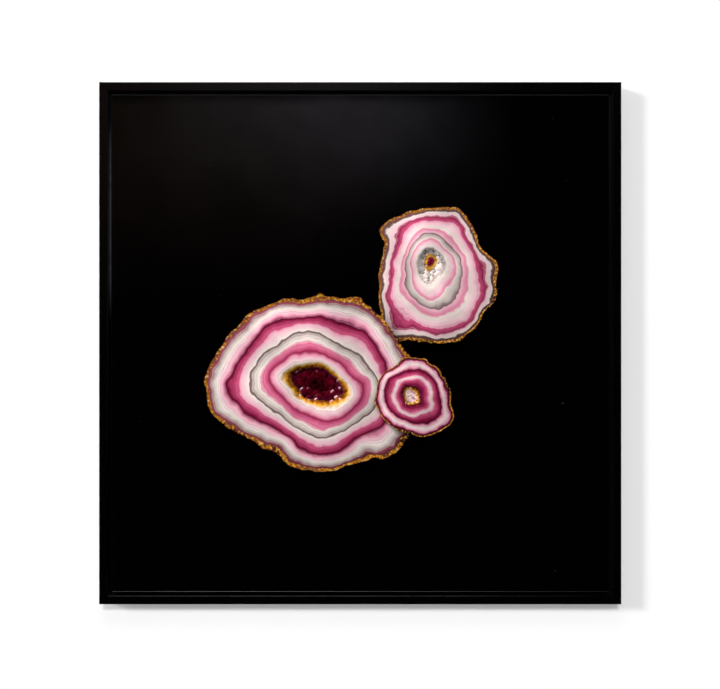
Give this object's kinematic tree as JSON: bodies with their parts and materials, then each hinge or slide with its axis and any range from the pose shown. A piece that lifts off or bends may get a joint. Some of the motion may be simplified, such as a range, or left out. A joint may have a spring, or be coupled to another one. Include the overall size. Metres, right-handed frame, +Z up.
{
  "type": "framed picture",
  "caption": "Square wall picture: glossy face-mounted print floating in a black timber frame with an open shadow gap, hung on swinging D-rings.",
  "frame": {"origin": "centre of the picture on the wall plane, which the four pads touch", "axes": "+X right and +Z up as the picture is seen; +Y into the wall, so the front faces -Y"},
  "size_m": [0.84, 0.04, 0.84],
  "materials": {
    "black_timber": "black stained, satin",
    "acrylic": "clear, polished edges",
    "print": "printed design under the clear face",
    "board_skin": "mill finish, fine rolled lines",
    "board_core": "sawn edge",
    "raw_timber": "planed, bare",
    "screw_steel": "bright zinc",
    "hanger_steel": "nickel plated",
    "felt": "pressed felt"
  },
  "bodies": {
    "frame": {"rail_top": "black_timber", "rail_bottom": "black_timber", "rail_left": "black_timber", "rail_right": "black_timber", "acrylic_face": "acrylic", "print_sheet": "print", "panel_front_skin": "board_skin", "panel_back_skin": "board_skin", "panel_core": "board_core", "subframe_top": "raw_timber", "subframe_bottom": "raw_timber", "subframe_left": "raw_timber", "subframe_right": "raw_timber", "frame_screw_top_1": "screw_steel", "frame_screw_top_2": "screw_steel", "frame_screw_bottom_1": "screw_steel", "frame_screw_bottom_2": "screw_steel", "frame_screw_left_1": "screw_steel", "frame_screw_left_2": "screw_steel", "frame_screw_right_1": "screw_steel", "frame_screw_right_2": "screw_steel", "subframe_screw_top_right": "screw_steel", "subframe_screw_bottom_right": "screw_steel", "subframe_screw_bottom_left": "screw_steel", "subframe_screw_top_left": "screw_steel", "hanger_screw_left_1": "screw_steel", "hanger_screw_left_2": "screw_steel", "hanger_screw_right_1": "screw_steel", "hanger_screw_right_2": "screw_steel", "v_nail_outer_top_right": "screw_steel", "v_nail_outer_bottom_right": "screw_steel", "v_nail_outer_bottom_left": "screw_steel", "v_nail_outer_top_left": "screw_steel", "v_nail_inner_top_right": "screw_steel", "v_nail_inner_bottom_right": "screw_steel", "v_nail_inner_bottom_left": "screw_steel", "v_nail_inner_top_left": "screw_steel", "hanger_strap_left": "hanger_steel", "hanger_strap_right": "hanger_steel", "wall_pad_top_right": "felt", "wall_pad_bottom_right": "felt", "wall_pad_bottom_left": "felt", "wall_pad_top_left": "felt"},
    "ring_left": {"d_ring_left": "hanger_steel"},
    "ring_right": {"d_ring_right": "hanger_steel"}
  },
  "joints": [
    {"name": "ring_left_swing", "type": "hinge", "parent": "frame", "child": "ring_left", "pos_m": [-0.393, -0.006, 0.29], "axis": [1, 0, 0], "range_deg": [0, 180]},
    {"name": "ring_right_swing", "type": "hinge", "parent": "frame", "child": "ring_right", "pos_m": [0.393, -0.006, 0.29], "axis": [1, 0, 0], "range_deg": [0, 180]}
  ]
}
